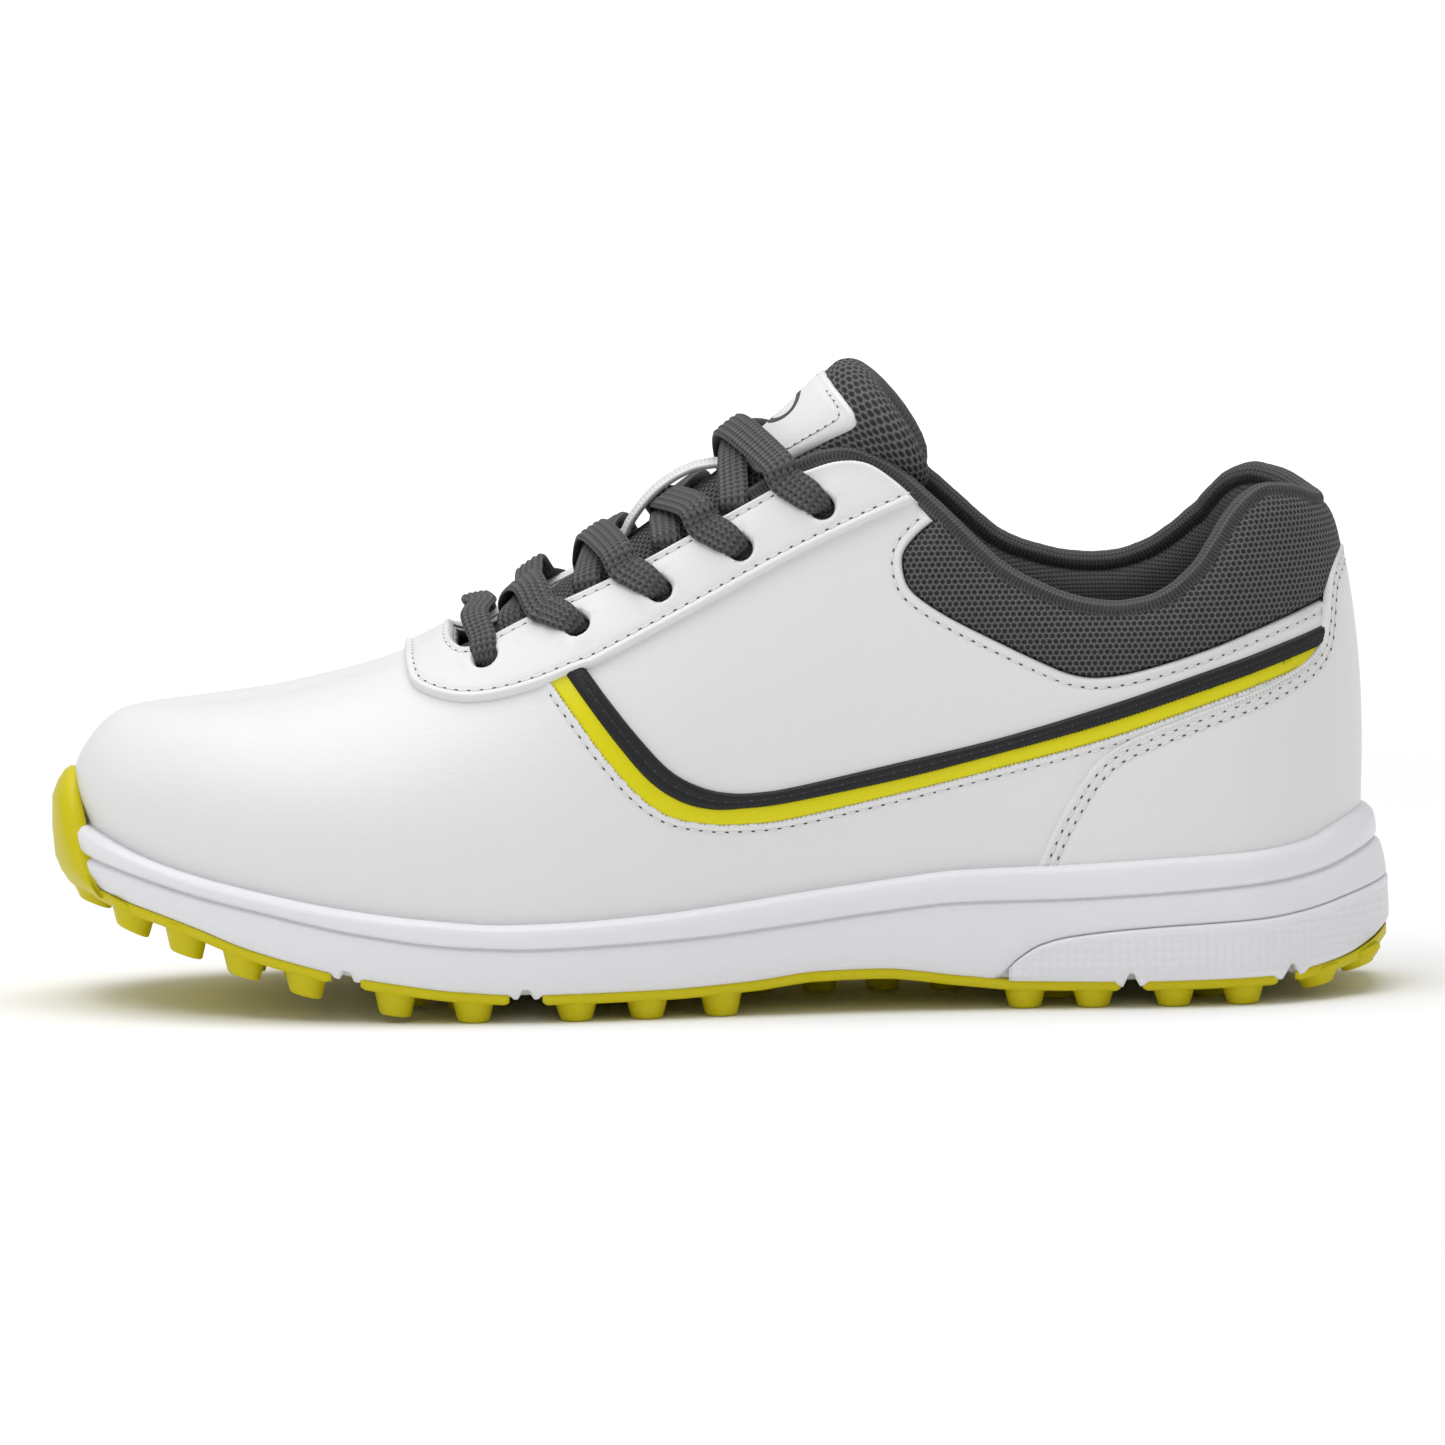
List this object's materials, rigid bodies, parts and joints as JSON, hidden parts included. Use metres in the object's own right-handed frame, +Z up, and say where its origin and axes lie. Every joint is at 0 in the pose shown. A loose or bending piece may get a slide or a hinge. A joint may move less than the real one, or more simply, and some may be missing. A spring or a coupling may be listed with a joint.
{
  "type": "golf shoe",
  "caption": "White leather golf shoe with a padded mesh collar and tongue, flat laces, a foam midsole and a lime rubber outsole with moulded lugs.",
  "frame": {"origin": "centre of the bounding box's footprint, on the plane that the lugs stand on", "axes": "+X towards the heel, -X towards the toe, -Y the lateral side, +Z up"},
  "size_m": [0.2749, 0.0988, 0.1306],
  "materials": {
    "white_leather": "smooth grained synthetic leather",
    "white_webbing": "flat woven webbing",
    "midsole_foam": "moulded foam, fine pebble",
    "lime_rubber": "satin moulded rubber",
    "lime_trim": "satin film",
    "black_piping": "satin",
    "charcoal_mesh": "honeycomb mesh",
    "charcoal_lace": "ribbed woven",
    "lining_knit": "fine knit",
    "sockliner_fabric": "knit over foam",
    "pad_foam": "open-cell foam",
    "stiffener": "moulded sheet",
    "shank_board": "pressed board",
    "aglet_plastic": "clear-coated"
  },
  "bodies": {
    "shoe": {"outsole_toe_pad": "lime_rubber", "outsole_forefoot_pad": "lime_rubber", "outsole_midfoot_pad": "lime_rubber", "outsole_heel_pad": "lime_rubber", "outsole_edge_pad": "lime_rubber", "midsole": "midsole_foam", "heel_wrap": "midsole_foam", "shank": "shank_board", "insole_board": "shank_board", "vamp": "white_leather", "quarter_lateral": "white_leather", "quarter_medial": "white_leather", "eyestay": "white_leather", "heel_overlay": "white_leather", "toe_puff": "stiffener", "heel_counter": "stiffener", "upper_lining": "lining_knit", "collar_lining": "lining_knit", "collar_mesh": "charcoal_mesh", "collar_foam": "pad_foam", "topline_binding": "lining_knit", "piping_lateral": "black_piping", "piping_medial": "black_piping", "accent_band_lateral": "lime_trim", "accent_band_medial": "lime_trim", "lace": "charcoal_lace", "aglet_lateral": "aglet_plastic", "aglet_medial": "aglet_plastic"},
    "tongue": {"tongue_shell": "charcoal_mesh", "tongue_foam": "pad_foam", "tongue_lining": "lining_knit", "tongue_label": "white_leather", "lace_keeper": "white_webbing"},
    "sockliner": {"sockliner": "sockliner_fabric"}
  },
  "joints": [
    {"name": "tongue_swing", "type": "hinge", "parent": "shoe", "child": "tongue", "pos_m": [-0.06, -0.002, 0.066], "axis": [0, 1, 0], "range_deg": [0, 2.5], "stiffness_Nm_per_rad": 0.5},
    {"name": "sockliner_lift", "type": "hinge", "parent": "shoe", "child": "sockliner", "pos_m": [-0.124, 0, 0.045], "axis": [0, -1, 0], "range_deg": [0, 5]}
  ]
}
